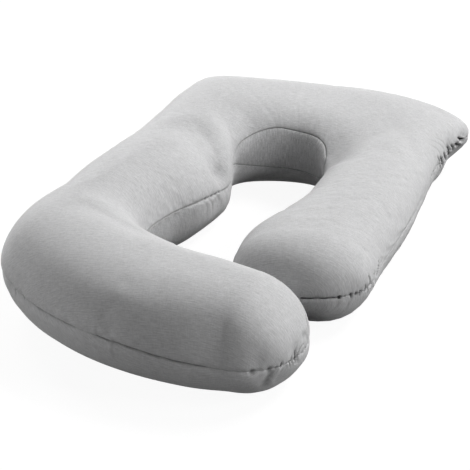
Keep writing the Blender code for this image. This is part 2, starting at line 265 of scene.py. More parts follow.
def rolled_out(rows, across):
    """UV of one panel: the crown keeps its plan, and each ring runs straight out from it."""
    step = np.linalg.norm(np.diff(rows, axis=1), axis=2)
    arc = np.concatenate([np.zeros((len(rows), 1)), np.cumsum(step, axis=1)], axis=1)
    middle = rows.shape[1] // 2
    spine = rows[:, middle]
    arc -= arc[:, [middle]]
    path = np.linalg.norm(np.diff(spine, axis=0), axis=1)
    spine_uv = spine[:, :2].copy()
    for index in range(FIRST_OF_BODY - 1, -1, -1):
        spine_uv[index] = spine_uv[index + 1] + foot_away * path[index]
    for index in range(RINGS - END_TURNS, RINGS):
        spine_uv[index] = spine_uv[index - 1] + arm_away * path[index - 1]
    return spine_uv[:, None] - across[:, None] * arc[:, :, None]


across = cover[:, 0, :2] - cover[:, TOP_ROWS - 1, :2]
across /= np.linalg.norm(across, axis=1)[:, None]
top_uv = rolled_out(cover[:, :TOP_ROWS], across)
belly = np.concatenate([cover[:, BOTTOM_START:], cover[:, :1]], axis=1)
bottom_uv = rolled_out(belly, -across) + [0, BOTTOM_PATTERN_APART]
print("top panel, flat:", np.ptp(top_uv, axis=(0, 1)).round(2), "m")

# %% [markdown]
# ## Which way the cloth faces
#
# Seams, tucks and folds all push the cloth along its own normal, so one helper measures the
# normal at every point of the grid. The rows run round the tube, so they wrap; the rings do not,
# and beyond the last ring lies the tip.

# %% Measure normals on the grid
def outward(grid, first_tip, last_tip):
    """Unit normals of a wrapped grid whose two open sides close on a tip."""
    ends = [np.broadcast_to(tip, grid[:1].shape) for tip in (first_tip, last_tip)]
    longer = np.concatenate([ends[0], grid, ends[1]])
    along = longer[2:] - longer[:-2]
    around = np.roll(grid, -1, axis=1) - np.roll(grid, 1, axis=1)
    normal = np.cross(around, along)
    return normal / np.maximum(np.linalg.norm(normal, axis=2, keepdims=True), 1e-12)


def grid_faces(rings, rows, wrapped):
    """Quads of a grid, as rows of four point numbers."""
    ring_number = np.arange(rings - 1)[:, None]
    row_number = np.arange(rows if wrapped else rows - 1)[None]
    next_row = (row_number + 1) % rows
    near, far = ring_number * rows, (ring_number + 1) * rows
    quads = np.stack([near + row_number, far + row_number, far + next_row, near + next_row], axis=-1)
    return quads.reshape(-1, 4)


crown_row = TOP_ROWS // 2
FACING = np.sign(outward(cover, foot_tip, arm_tip)[RINGS // 2, crown_row, 2])
print("the grid's own winding faces", "out" if FACING > 0 else "in")

# %% [markdown]
# ## Where each point lies beside its seam
#
# A seam's tucks are placed as a sewer would mark them: how far along the seam, and how far up
# or down from it. So each point of the cover gets both numbers, once for the outer seam and once
# for the inner one. Along the head opening the inner seam parts in two, above and below the gusset.

# %% Number the points along and beside the seams
def every_ring(values):
    """Spreads a value of the body's rings over the round ends too."""
    return np.pad(values, ((END_TURNS, END_TURNS), (0, 0)), mode="edge")


seam_height, upper_edge, lower_edge, lens_all = map(every_ring, (seam, upper, lower, lens))
all_rows = np.arange(ROWS)
is_top = all_rows < TOP_ROWS
is_recess = (all_rows >= TOP_ROWS) & (all_rows < BOTTOM_START)
outer_side = np.where(is_top, all_rows < crown_row, all_rows >= (BOTTOM_START + ROWS) // 2)


def station(row):
    """Metres along one row of the cover, 0 at the first section and less on the foot's end."""
    step = np.linalg.norm(np.diff(cover[:, row], axis=0), axis=1)
    travelled = np.concatenate([[0], np.cumsum(step)])
    return travelled - travelled[FIRST_OF_BODY]


outer_station, inner_station = station(0), station(TOP_ROWS - 1)
above_outer = cover[:, :, 2] - seam_height
above_inner = cover[:, :, 2] - np.where(is_top, upper_edge, lower_edge)
above_inner = np.where(is_recess, 0.0, above_inner)
print(f"outer seam {np.ptp(outer_station):.3f} m, inner seam {np.ptp(inner_station):.3f} m")

# %% [markdown]
# ## Folds across the panels
#
# Where the tube bends, the panel is too long on the inside of the bend and folds. A crease is a
# shallow trough between two plan points, fading out at both ends and down the sides. A dent is
# where the cloth is gathered at a tip. They are those of the solid, with a wrinkle on the heel
# and a saddle on the head's corner added. A negative depth swells the cloth.

# %% Sink the folds and press the dents
CREASES = table(
    "name start_x start_y end_x end_y bow depth left_width right_width",
    ("heel bend",       -0.280, -0.318, -0.080, -0.422, 0.014,  0.007, 0.020, 0.050),
    ("heel wrinkle",    -0.245, -0.300, -0.150, -0.335, 0.006,  0.002, 0.012, 0.014),
    ("neck hollow",     -0.200,  0.232, -0.070,  0.086, 0.000,  0.017, 0.036, 0.070),
    ("neck rim",        -0.112,  0.340, -0.074,  0.100, 0.000, -0.009, 0.022, 0.022),
    ("opening, back",   -0.010,  0.385,  0.175,  0.310, -0.022, 0.004, 0.040, 0.040),
    ("opening, right",   0.118,  0.345,  0.190,  0.180, -0.012, 0.009, 0.040, 0.030),
    ("arm fold",         0.150,  0.205,  0.300,  0.265, 0.014,  0.003, 0.040, 0.040),
    ("corner fold",      0.225,  0.450,  0.350,  0.215, 0.018,  0.003, 0.022, 0.022),
)
DENTS = table(
    "name x y z half_width reach depth",
    ("corner tuck",      0.402,  0.545, 0.040, 0.056, 0.042, 0.030),
    ("corner pleat",     0.410,  0.560, 0.100, 0.022, 0.022, 0.009),
    ("corner side",      0.385,  0.480, 0.105, 0.020, 0.028, 0.007),
    ("foot tip tuck",    0.258, -0.640, 0.035, 0.050, 0.040, 0.016),
    ("foot tip pleat",   0.262, -0.590, 0.100, 0.020, 0.028, 0.006),
    ("foot front pleat", 0.205, -0.655, 0.100, 0.018, 0.024, 0.005),
    ("arm end pleat",    0.315, -0.325, 0.098, 0.018, 0.026, 0.005),
    ("arm side pleat",   0.348, -0.250, 0.098, 0.018, 0.024, 0.004),
    ("heel pleat",      -0.345, -0.500, 0.100, 0.022, 0.022, 0.003),
    ("neck wrinkle",    -0.088,  0.060, 0.080, 0.024, 0.018, 0.004),
    ("neck hollow, low", -0.087, 0.106, 0.138, 0.030, 0.036, 0.021),
    ("heel, low",       -0.366, -0.460, 0.060, 0.070, 0.040, 0.004),
    ("heel, swollen",   -0.396, -0.430, 0.130, 0.050, 0.035, -0.002),
    ("foot tip, front",  0.170, -0.660, 0.018, 0.050, 0.025, 0.004),
    ("arm end, low",     0.326, -0.266, 0.046, 0.045, 0.035, 0.006),
    ("corner saddle",    0.338,  0.590, 0.150, 0.022, 0.040, 0.005),
)
FOLD_STARTS, FOLD_FULL, FOLD_RUN_OUT = 0.098, 0.138, 0.45


def fold_depths(plan, height):
    """How far the creases sink every point."""
    sunk = np.zeros(height.shape)
    for crease in CREASES:
        start = np.array([crease.start_x, crease.start_y]) + PLAN_SHIFT[:2]
        end = np.array([crease.end_x, crease.end_y]) + PLAN_SHIFT[:2]
        run = end - start
        length = np.linalg.norm(run)
        away = plan - start
        share = (away @ run) / length ** 2
        sideways = (away @ np.array([-run[1], run[0]])) / length
        sideways -= crease.bow * 4 * share * (1 - share)
        reach = np.where(sideways > 0, crease.left_width, crease.right_width)
        sunk += crease.depth * np.exp(-(sideways / reach) ** 2 - ((share - 0.5) / FOLD_RUN_OUT) ** 4)
    return sunk * np.clip((height - FOLD_STARTS) / (FOLD_FULL - FOLD_STARTS), 0, 1)


def dent_depths(plan, height):
    """How far the dents press every point in."""
    pressed = np.zeros(height.shape)
    for dent in DENTS:
        away = np.linalg.norm(plan - PLAN_SHIFT[:2] - [dent.x, dent.y], axis=-1) / dent.half_width
        pressed += dent.depth * np.exp(-away ** 2 - ((height - dent.z) / dent.reach) ** 2)
    return pressed


normal = FACING * outward(cover, foot_tip, arm_tip)
sunk = fold_depths(cover[:, :, :2], cover[:, :, 2])
cover[:, :, 2] -= sunk
cover -= normal * dent_depths(cover[:, :, :2], cover[:, :, 2])[:, :, None]
cover[:, :, 2] = np.maximum(cover[:, :, 2], 0)
print(f"deepest fold {1000 * sunk.max():.1f} mm")

# %% [markdown]
# ## Filling the cover
#
# Even a well-filled cover ripples a little, because its long seams are tighter than its panels.
# A coarse copy of the cover is blown up for twenty frames of cloth simulation, with its seams
# shrunk by a twentieth.

# %% Write down how a coarse copy is blown up
RING_STRIDE, ROW_STRIDE, ROWS_BY_SEAM = 3, 3, (-9, -7, -5, -3, 3, 5, 7, 9)
FRAMES, HELD_SOFTLY, RESTS_BELOW = 20, 0.15, 0.0005
KNIT = {
    "quality": 6, "mass": 0.25, "air_damping": 1.5,
    "tension_stiffness": 15, "compression_stiffness": 15, "shear_stiffness": 5,
    "bending_stiffness": 0.3, "use_pressure": True, "uniform_pressure_force": 4.0,
    "vertex_group_mass": "held", "pin_stiffness": 10,
    "vertex_group_shrink": "seams", "shrink_min": 0.0, "shrink_max": 0.05,
}
SEAM_ROWS = (0, TOP_ROWS - 1, BOTTOM_START)


def coarse_rows():
    """Every third row, with more of them beside the seams."""
    rows = {*range(0, ROWS, ROW_STRIDE), *SEAM_ROWS}
    for row in (*SEAM_ROWS, ROWS):
        rows |= {row + step for step in ROWS_BY_SEAM}
    recess = set(range(TOP_ROWS, BOTTOM_START))
    return np.array(sorted(row for row in rows - recess if 0 <= row < ROWS))


def blow_up(coarse, tips, seam_rows):
    """Twenty frames of cloth under pressure; returns where every point has gone."""
    rings, rows = coarse.shape[:2]
    points = np.vstack([coarse.reshape(-1, 3), tips])
    faces = grid_faces(rings, rows, wrapped=True).tolist()
    for tip, ring in ((rings * rows, 0), (rings * rows + 1, rings - 1)):
        faces += [(tip, ring * rows + row, ring * rows + (row + 1) % rows)[::1 if ring else -1]
                  for row in range(rows)]
    mesh = bpy.data.meshes.new("coarse cover")
    mesh.from_pydata(points.tolist(), [], faces)
    bag = bpy.data.objects.new("coarse cover", mesh)
    bpy.context.scene.collection.objects.link(bag)
    pin = bag.vertex_groups.new(name="held")
    pin.add(list(range(len(points))), HELD_SOFTLY, "REPLACE")
    pin.add(np.flatnonzero(points[:, 2] < RESTS_BELOW).tolist(), 1.0, "REPLACE")
    drawn = bag.vertex_groups.new(name="seams")
    for row in seam_rows:
        drawn.add(list(range(row, rings * rows, rows)), 1.0, "REPLACE")
    cloth = bag.modifiers.new("cloth", "CLOTH")
    cloth.collision_settings.use_collision = False
    cloth.point_cache.frame_start, cloth.point_cache.frame_end = 1, FRAMES
    for setting, value in KNIT.items():
        setattr(cloth.settings, setting, value)
    cloth.settings.effector_weights.gravity = 0
    for frame_number in range(1, FRAMES + 1):
        bpy.context.scene.frame_set(frame_number)
    blown = bag.evaluated_get(bpy.context.evaluated_depsgraph_get()).data
    gone = np.empty(len(points) * 3)
    blown.vertices.foreach_get("co", gone)
    bpy.data.objects.remove(bag)
    bpy.data.meshes.remove(mesh)
    bpy.context.scene.frame_set(1)
    return (gone.reshape(-1, 3) - points)[:rings * rows].reshape(rings, rows, 3)


print("coarse rows:", len(coarse_rows()), "of", ROWS)

# %% [markdown]
# The copy's broad swelling is taken out again, since the sections already hold the filled shape,
# and only its ripples are passed on to the fine cover.

# %% Blow up the copy and keep its ripples
BROAD, RIPPLE_CAP, RIPPLE_SHARE, FREE_ABOVE = 0.05, 0.008, 0.40, 0.03


def ripples_only(moved, coarse):
    """Takes the broad part out of a movement and caps the rest."""
    step = np.linalg.norm(np.diff(coarse, axis=0), axis=2).mean(axis=1)
    along = np.concatenate([[0], np.cumsum(step)])
    near = np.exp(-((along[:, None] - along) / BROAD) ** 2 / 2)
    broad = np.einsum("ij,jkl->ikl", near / near.sum(axis=1, keepdims=True), moved)
    gap = np.linalg.norm(np.roll(coarse, -1, axis=1) - coarse, axis=2)
    place = np.cumsum(gap, axis=1) - gap
    apart = np.abs(place[:, :, None] - place[:, None, :])
    apart = np.minimum(apart, gap.sum(axis=1)[:, None, None] - apart)
    near = np.exp(-(apart / BROAD) ** 2 / 2) * ((gap + np.roll(gap, 1, axis=1)) / 2)[:, None, :]
    broad = np.einsum("ijk,ikl->ijl", near / near.sum(axis=2, keepdims=True), broad)
    ripple = moved - broad
    size = np.linalg.norm(ripple, axis=2, keepdims=True)
    return ripple * np.minimum(1, RIPPLE_CAP / np.maximum(size, 1e-9)) * RIPPLE_SHARE


def on_fine_grid(coarse, ring_numbers, row_numbers):
    """Spreads a value of the coarse grid over every ring and row, smoothly."""
    rings, rows = coarse.shape[:2]
    ring_places = np.interp(np.arange(RINGS), ring_numbers, np.arange(rings))
    full = read_along(coarse.reshape(rings, -1), ring_places).reshape(RINGS, rows, 3)
    wrapped = np.concatenate([full[:, -1:], full, full[:, :2]], axis=1).transpose(1, 0, 2)
    row_places = np.interp(np.arange(ROWS), [*row_numbers, ROWS], np.arange(rows + 1)) + 1
    fine = read_along(wrapped.reshape(rows + 3, -1), row_places)
    return fine.reshape(ROWS, RINGS, 3).transpose(1, 0, 2)


row_numbers = coarse_rows()
ring_numbers = np.unique([*range(0, RINGS, RING_STRIDE), RINGS - 1])
coarse_cover = cover[ring_numbers][:, row_numbers]
seam_rows = np.searchsorted(row_numbers, SEAM_ROWS).tolist()
moved = blow_up(coarse_cover, np.stack([foot_tip, arm_tip]), seam_rows)
ripples = on_fine_grid(ripples_only(moved, coarse_cover), ring_numbers, row_numbers)
free = ease(0.0, FREE_ABOVE, cover[:, :, 2]) * (1 - lens_all * is_recess)
cover += ripples * free[:, :, None]
most_moved, most_kept = (float(np.linalg.norm(move, axis=2).max()) for move in (moved, ripples))
print(f"blown up by {1000 * most_moved:.1f} mm at most, {1000 * most_kept:.1f} mm of it kept")

# %% [markdown]
# ## How tightly each seam is drawn
#
# On a filled cover a seam is a narrow valley: the stitches hold it down and the filling rounds
# both panels over it. Its thread is tighter than the knit, so the valley is crossed by small
# puckers that die out a finger's width away. Not every run is alike. The two closing seams lie
# straight and deep, the long sides barely show, and the corner and the tips are gathered.

# %% List the runs of the seams
RUN_COLUMNS = "name start end groove roll pucker"
SEAM_RUNS = {
    "outer": table(
        RUN_COLUMNS,
        ("foot tip",       -0.30,  0.02, 0.0012, 0.0010, 0.0008),
        ("foot closing",    0.03,  0.25, 0.0030, 0.0008, 0.0001),
        ("foot, faded",     0.26,  0.30, 0.0010, 0.0004, 0.0003),
        ("heel front",      0.31,  0.43, 0.0024, 0.0008, 0.0003),
        ("heel",            0.45,  0.62, 0.0014, 0.0008, 0.0006),
        ("back",            0.64,  1.55, 0.0026, 0.0014, 0.0006),
        ("head corner",     1.57,  1.85, 0.0030, 0.0016, 0.0014),
        ("head",            1.87,  2.32, 0.0026, 0.0014, 0.0006),
        ("gathered corner", 2.36,  2.74, 0.0040, 0.0020, 0.0022),
        ("arm side, flat",  2.78,  2.93, 0.0006, 0.0002, 0.0001),
        ("arm side",        2.95,  3.20, 0.0018, 0.0002, 0.0002),
        ("arm end side",    3.23,  3.41, 0.0018, 0.0008, 0.0003),
        ("arm closing",     3.43,  3.80, 0.0038, 0.0010, 0.0001),
    ),
    "inner": table(
        RUN_COLUMNS,
        ("foot inside",    -0.30,  0.30, 0.0026, 0.0012, 0.0008),
        ("long arm",        0.32,  0.60, 0.0013, 0.0006, 0.0002),
        ("neck",            0.62,  0.72, 0.0011, 0.0006, 0.0003),
        ("neck bump",       0.74,  0.86, 0.0016, 0.0006, 0.0002),
        ("gusset",          0.88,  1.00, 0.0022, 0.0006, 0.0001),
        ("gusset, drawn",   1.02,  1.13, 0.0028, 0.0010, 0.0004),
        ("gusset end",      1.15,  1.26, 0.0022, 0.0006, 0.0002),
        ("short arm",       1.28,  1.85, 0.0026, 0.0010, 0.0006),
        ("arm inside end",  1.87,  2.30, 0.0036, 0.0010, 0.0008),
    ),
}
RUN_BLEND, LEAST_WEIGHT = 0.012, 1e-6


def run_values(side, stations):
    """Groove depth, roll depth and pucker height along a seam, eased from run to run."""
    weights, values = [], []
    for run in SEAM_RUNS[side]:
        inside = (ease(run.start - RUN_BLEND, run.start + RUN_BLEND, stations)
                  * (1 - ease(run.end - RUN_BLEND, run.end + RUN_BLEND, stations)))
        weights.append(inside + LEAST_WEIGHT)
        values.append((run.groove, run.roll, run.pucker))
    weights = np.array(weights)
    return ((weights / weights.sum(axis=0)).T @ np.array(values)).T[:, :, None]


# %% [markdown]
# ## Tucks placed one by one
#
# Where the outline turns tightly the maker eases too much cloth into the seam, and it stands in
# small folds. They are placed one by one: the point on the seam, how far above it the fold's
# middle lies, how long it is, how it leans, and how deep and wide it is. A negative depth makes
# a ridge. A low lip stands on both sides of each fold. At the two tips, where the rings close up,
# the tucks run out. Lengths are in millimetres here, and the lean is sideways travel per rise.

# %% List the tucks
TUCK_UNITS = (1000, 1000, 1000, 1, 1000, 1000)
TUCK_GROUPS = (
    ("arm closing stop", "outer",
     (3428,   0,  4,  0.0,  4.8, 3.4)),
    ("arm end", "outer",
     (3411,   1,  5,  0.0, -2.0, 2.2),
     (3401,  -3,  6,  0.0,  3.4, 2.6),
     (3395,   1,  5,  0.0, -1.8, 2.0),
     (3389,  -1,  5,  0.0,  2.4, 2.0),
     (3384,   1,  6,  0.0, -2.4, 2.0),
     (3379,  -2,  7,  0.0,  4.4, 2.0),
     (3371,   1,  7,  0.0, -3.0, 2.0),
     (3363,   6,  7,  0.0,  4.4, 2.0),
     (3350,  -8,  7,  0.0,  3.6, 2.0),
     (3354,   8,  7,  0.0, -2.4, 2.0),
     (3346,  16, 10,  0.0,  5.6, 1.8),
     (3322,   3, 14, -1.0,  7.0, 2.2),
     (3310,   3, 14, -1.6, -3.4, 2.2),
     (3296,   2, 15, -2.2,  8.0, 2.4),
     (3278,   6, 14, -2.2, -3.0, 2.2),
     (3266,   6,  9, -2.2,  4.0, 2.6),
     (3270, -10, 11, -2.4,  2.8, 2.6),
     (3246,   8,  8, -2.4,  1.6, 2.6)),
    ("arm front", "outer",
     (3404, -18, 14,  0.0,  0.9, 4.0),
     (3429, -16, 12,  0.0,  0.8, 4.0),
     (3500,  30, 30,  0.1,  0.8, 6.0),
     (3520,  34, 30,  0.1,  0.8, 6.0)),
    ("foot tip", "outer",
     ( -60,   0,  7,  0.0,  2.0, 5.5),
     ( -94,   0,  8,  0.0,  2.2, 5.5),
     ( -90, -25, 24, -0.6,  2.2, 8.0),
     (-104, -25, 26, -0.6, -2.4, 4.5),
     (-113,   2,  7,  0.0, -2.0, 2.2),
     (-121,   3,  7,  0.0,  4.6, 2.4),
     (-139,  -3,  7,  0.0, -1.8, 2.2),
     (-145,  -4,  6,  0.0,  4.4, 2.2),
     (-152,   0,  7,  0.0,  2.2, 2.4),
     (-157,   0, 12,  0.0, -2.4, 2.0),
     (-162,   2, 15,  0.0,  6.0, 2.0),
     (-167,   4, 15, -0.2, -3.2, 2.0),
     (-173,   8, 20, -0.3,  8.5, 2.4),
     (-180,   8, 18, -0.2, -3.4, 2.2),
     (-185,   4, 16,  0.0,  5.0, 2.2)),
    ("foot tip", "inner",
     (-184,   4, 13,  0.0,  3.0, 2.4),
     (-176,  12, 14,  0.4, -1.2, 2.4),
     (-167,  16, 18,  0.8,  1.8, 2.6),
     (-158,  22, 18,  1.2, -1.0, 2.6),
     (-149,  26, 22,  1.5,  1.8, 2.6)),
    ("foot side", "outer",
     ( 219, -14, 16,  0.0, -1.2, 3.0),
     ( 252,  13, 12,  0.0,  1.1, 2.4)),
    ("heel", "outer",
     ( 475,   3,  9,  0.4,  3.0, 2.6),
     ( 514,  -6,  9,  0.5,  3.0, 2.6),
     ( 524,  -3,  9,  0.5, -1.4, 2.6)),
    ("corner", "outer",
     (2508,   8, 12,  1.6,  8.0, 3.6),
     (2530,  -4, 12,  1.6,  8.0, 3.6),
     (2519,   2, 12,  1.6, -4.0, 3.4),
     (2558,  -2, 16,  0.8,  5.6, 4.0),
     (2583,   2, 14,  0.2,  6.0, 4.0),
     (2608,  -6, 16,  0.8,  6.4, 4.0),
     (2636, -10, 20,  0.6,  5.6, 4.4),
     (2663,   4, 16,  0.4,  3.6, 4.0),
     (2508, -14, 10,  1.8,  7.0, 3.4),
     (2543, -16, 12, -1.2,  6.0, 3.6),
     (2568, -20, 14,  1.0,  6.0, 3.8),
     (2596, -18, 12, -0.8,  6.0, 3.6),
     (2623, -24, 14,  0.9,  5.6, 3.8),
     (2650, -16, 12, -0.6,  5.0, 3.6)),
    ("corner crease", "outer",
     (2598,  30, 20,  0.2,  0.8, 3.6),
     (2620,  34, 22,  0.3,  0.8, 3.6),
     (2648,  28, 22,  0.2,  0.8, 3.6)),
    ("neck stitch", "inner",
     ( 640,   0,  2,  0.0,  1.2, 4.0),
     ( 668,   0,  2,  0.0,  1.4, 4.0),
     ( 690,   0,  2,  0.0,  1.4, 5.0),
     ( 712,   0,  2,  0.0,  1.2, 5.0)),
    ("neck", "inner",
     ( 640, -14, 14, -0.6,  0.7, 4.0),
     ( 668, -18, 16, -0.9,  0.9, 4.4),
     ( 706, -14, 14, -1.2,  0.8, 4.0)),
)
LIP_HEIGHT, LIP_PLACE, LIP_WIDTH = 0.32, 1.75, 0.75
NO_TUCKS_BELOW, FULL_TUCKS_FROM = 0.02, 0.09

TUCKS = {"outer": [], "inner": []}
for _, side, *rows in TUCK_GROUPS:
    TUCKS[side] += table("station middle reach lean depth half_width", *np.array(rows) / TUCK_UNITS)
print("tucks:", ", ".join(f"{len(rows)} at the {name}" for name, _, *rows in TUCK_GROUPS))


def tuck_depths(side, stations, above):
    """How far the tucks of one seam press every point in."""
    pressed = np.zeros(above.shape)
    for tuck in TUCKS[side]:
        rise = above - tuck.middle
        across = stations[:, None] - tuck.station - tuck.lean * rise
        across = np.abs(across) / (tuck.half_width * math.hypot(1, tuck.lean))
        fold = np.exp(-across ** 2) - LIP_HEIGHT * np.exp(-((across - LIP_PLACE) / LIP_WIDTH) ** 2)
        pressed += tuck.depth * fold * np.exp(-(rise / tuck.reach) ** 4)
    ring_width = np.linalg.norm(cover[:, 0] - cover[:, TOP_ROWS - 1], axis=1)
    return pressed * ease(NO_TUCKS_BELOW, FULL_TUCKS_FROM, ring_width)[:, None]


# %% [markdown]
# ## Drawing in the seams
#
# The valley, the puckers and the tucks add up to one depth for every point, and the cloth is
# pushed in by it along its normal.

# %% Draw the seams in
GROOVE_REACH, ROLL_REACH = 0.0013, 0.010
# The groove and tuck depth at which the painted shade is darkest, and how far the wall behind the
# gusset is set in.
FULL_PAINTED_SHADE_DEPTH, RECESS_DEPTH = 0.0038, 0.0030
PUCKER_REACH, PUCKER_LEAN = 0.016, 0.25
# Each seam's longest pucker and the seed of its unevenness.
OUTER_WAVE, INNER_WAVE, STRIP_WAVE = (0.034, 11), (0.028, 12), (0.026, 13)


def groove_valley(away, groove):
    """The narrow groove in which the stitches lie."""
    return groove * np.exp(-away / GROOVE_REACH)


def roll_valley(away, roll):
    """The soft valley round it, where the filling rounds both panels over."""
    return roll * np.exp(-(away / ROLL_REACH) ** 2)


def uneven_wave(along, longest, seed):
    """A wave of three lengths whose height comes and goes, from -1 to 1."""
    phases = np.random.default_rng(seed).uniform(0, 2 * math.pi, 5)
    turn = 2 * math.pi * along / longest
    wave = (np.sin(turn + phases[0]) + 0.8 * np.sin(1.63 * turn + phases[1])
            + 0.6 * np.sin(2.57 * turn + phases[2])) / 2.4
    swell = 0.6 + 0.4 * np.sin(0.21 * turn + phases[3]) * np.sin(0.13 * turn + phases[4])
    return wave * swell


def puckers(stations, above, height, longest, seed):
    """Small tucks across a seam, leaning a little and dying out above and below it."""
    wave = uneven_wave(stations[:, None] + PUCKER_LEAN * np.abs(above), longest, seed)
    return height * wave * np.exp(-(np.abs(above) / PUCKER_REACH) ** 1.5)


def seam_depths(side, stations, above, longest, seed):
    """The soft and the sharp part of all that draws the cloth in beside one seam."""
    groove, roll, pucker = run_values(side, stations)
    away = np.abs(above)
    soft = roll_valley(away, roll) + puckers(stations, above, pucker, longest, seed)
    return np.stack([soft, groove_valley(away, groove) + tuck_depths(side, stations, above)])


outer_in = seam_depths("outer", outer_station, above_outer, *OUTER_WAVE)
inner_in = seam_depths("inner", inner_station, above_inner, *INNER_WAVE)
soft_in, sharp_in = np.where(outer_side, outer_in, inner_in)
drawn_in = soft_in + sharp_in
drawn_in = np.where(is_recess & (lens_all > 0), np.maximum(drawn_in, RECESS_DEPTH), drawn_in)
# How strongly shade is painted into each point's colour: fully where the groove and tucks lie
# deepest.
cover_painted_shade = np.clip(sharp_in / FULL_PAINTED_SHADE_DEPTH, 0, 1)
normal = FACING * outward(cover, foot_tip, arm_tip)
cover -= normal * drawn_in[:, :, None]
cover[:, :, 2] = np.maximum(cover[:, :, 2], 0)
print(f"deepest seam {1000 * drawn_in.max():.1f} mm")

# %% [markdown]
# ## Making the cover's mesh
#
# The grid becomes a mesh of quads. The two tips are closed with a fan of triangles, so that the
# cover is one closed skin round its filling.

# %% Turn the grid into a mesh
def make_mesh(name, points, faces, corner_uvs, hollow):
    """A smooth mesh object at the origin: points, faces, each corner's UV, each point's painted seam
    shade.
    """
    mesh = bpy.data.meshes.new(name)
    mesh.from_pydata(points.tolist(), [], faces)
    layer = mesh.uv_layers.new(name="pattern")
    layer.data.foreach_set("uv", np.asarray(corner_uvs, dtype=np.float32).ravel())
    # The hollow attribute holds how much painted shade darkens each point's colour.
    dark = mesh.attributes.new("hollow", "FLOAT", "POINT")
    dark.data.foreach_set("value", np.asarray(hollow, dtype=np.float32).ravel())
    mesh.shade_smooth()
    mesh.update()
    piece = bpy.data.objects.new(name, mesh)
    bpy.context.scene.collection.objects.link(piece)
    return piece


quads = grid_faces(RINGS, ROWS, wrapped=True)
if FACING < 0:
    quads = quads[:, ::-1]
tips = (RINGS * ROWS, RINGS * ROWS + 1)
fans = []
for tip, start in ((tips[0], 0), (tips[1], (RINGS - 1) * ROWS)):
    fan = np.stack([np.full(ROWS, tip), start + all_rows, start + (all_rows + 1) % ROWS], axis=-1)
    fans.append(fan if (FACING > 0) == (tip == tips[0]) else fan[:, ::-1])
print("cover:", len(quads), "quads and", len(fans[0]) + len(fans[1]), "triangles")

# %% [markdown]
# The flat pattern is the mesh's UV map. A point on a seam belongs to both panels, so every point
# has a place on the top panel's pattern and one on the bottom panel's.

# %% Lay the pattern on the mesh
top_map = np.zeros((RINGS, ROWS, 2))
top_map[:, :TOP_ROWS] = top_uv
bottom_map = np.zeros((RINGS, ROWS + 1, 2))
bottom_map[:, BOTTOM_START:] = bottom_uv
bottom_map[:, TOP_ROWS - 1:BOTTOM_START] = bottom_uv[:, :1]


def corner_uv(faces):
    """UVs face by face, taken from the panel that the face belongs to."""
    at_tip = faces >= RINGS * ROWS
    rings = np.where(at_tip, np.where(faces == tips[0], 0, RINGS - 1), faces // ROWS)
    rows = np.where(at_tip, crown_row, faces % ROWS)
    lowest, highest = rows.min(axis=1), rows.max(axis=1)
    wraps = (highest - lowest) > ROWS // 2
    on_top = (highest < TOP_ROWS) & ~wraps
    rows_below = np.where(wraps[:, None] & (rows == 0), ROWS, rows)
    found = np.zeros((*faces.shape, 2))
    found[on_top] = top_map[rings[on_top], rows[on_top]]
    found[~on_top] = bottom_map[rings[~on_top], rows_below[~on_top]]
    return found.reshape(-1, 2)


all_uv = np.concatenate([corner_uv(faces) for faces in (quads, *fans)])
all_faces = [*quads.tolist(), *fans[0].tolist(), *fans[1].tolist()]
all_points = np.vstack([cover.reshape(-1, 3), foot_tip[None], arm_tip[None]])
pillow_cover = make_mesh("jersey_cover", all_points, all_faces, all_uv, [*cover_painted_shade.ravel(), 0, 0])
print("points:", len(all_points))

# %% [markdown]
# ## A way to write finishes
#
# A finish is easier to read as arithmetic than as a web of nodes. A Wire stands for one socket:
# adding, subtracting or multiplying wires adds the Math nodes. Other nodes come from Finish.node.

# %% Write finishes as arithmetic
class Wire:
    """One output socket, on which arithmetic adds Math nodes."""

    def __init__(self, finish, socket):
        self.finish = finish
        self.socket = socket

    def math(self, operation, other):
        return self.finish.node("Math", {"operation": operation}, {0: self, 1: other})

    def __add__(self, other):
        return self.math("ADD", other)

    def __sub__(self, other):
        return self.math("SUBTRACT", other)

    def __mul__(self, other):
        return self.math("MULTIPLY", other)

    __radd__ = __add__
    __rmul__ = __mul__


class Finish:
    """One material, its Principled shader and the nodes that feed it."""

    def __init__(self, name, **constants):
        self.material = bpy.data.materials.new(name)
        self.material.use_nodes = True
        self.tree = self.material.node_tree
        self.shader = self.tree.nodes["Principled BSDF"]
        for socket, value in constants.items():
            self.shader.inputs[socket.replace("_", " ")].default_value = value

    def node(self, kind, settings, sockets, output=0):
        """Adds a node: its settings first, then its sockets' values or links."""
        made = self.tree.nodes.new("ShaderNode" + kind)
        for name, value in settings.items():
            setattr(made, name, value)
        for name, value in sockets.items():
            if isinstance(value, Wire):
                self.tree.links.new(value.socket, made.inputs[name])
            else:
                made.inputs[name].default_value = value
        return Wire(self, made.outputs[output])

    def feed(self, socket, wire):
        """Links a wire to one of the shader's own sockets."""
        self.tree.links.new(wire.socket, self.shader.inputs[socket])

    def noise(self, where, scale, detail, roughness=0.55):
        """Soft noise about 0, from -0.5 to 0.5, stretched by a scale for each direction."""
        spread = self.node("VectorMath", {"operation": "MULTIPLY"}, {0: where, 1: scale})
        sockets = {"Vector": spread, "Scale": 1.0, "Detail": detail, "Roughness": roughness}
        return self.node("TexNoise", {}, sockets) - 0.5

    def mix(self, factor, first, second):
        """One colour at factor 0 and the other at 1."""
        return self.node("Mix", {"data_type": "RGBA", "clamp_factor": True},
                         {"Factor": factor, 6: first, 7: second}, output=2)


# %% [markdown]
# ## Heather jersey
#
# Heather yarn is spun from light and dark fibres, and the courses of the knit draw them out into
# short sideways streaks. A streak is a noise five to eight times as long as it is wide, along
# the pattern's U. A weaker one crosses it, a wide one clouds it, and the knit's loops are a bump.
# Deep in a seam or a tuck the cloth lies fold on fold and hardly any light comes back, so each
# point carries how deep it lies, and shade is painted into its colour there.

